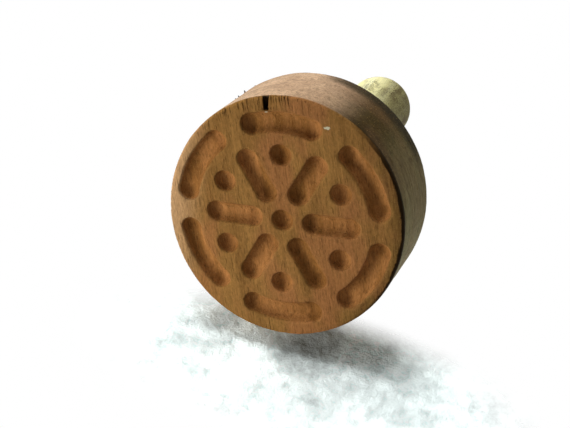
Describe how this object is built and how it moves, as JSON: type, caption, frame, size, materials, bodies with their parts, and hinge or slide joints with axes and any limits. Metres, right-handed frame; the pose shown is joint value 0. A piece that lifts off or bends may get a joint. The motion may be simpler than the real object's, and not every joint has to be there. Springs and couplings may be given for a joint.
{
  "type": "wooden stamp",
  "caption": "Hand stamp: a round dark hardwood head with a pattern of round-bottomed cuts in its face, on a plain round pale wood handle.",
  "frame": {"origin": "middle of the printing face, in the plane of its uncut wood", "axes": "+Z along the handle, away from the printing face; +Y along the grain of the head"},
  "size_m": [0.062, 0.062, 0.096],
  "materials": {
    "dark_hardwood": "bare turned hardwood with open pores, satin from handling",
    "pale_wood": "bare dowel, dull, marked with handling grime"
  },
  "bodies": {
    "root": {"stamp_head": "dark_hardwood", "handle": "pale_wood"}
  },
  "joints": []
}
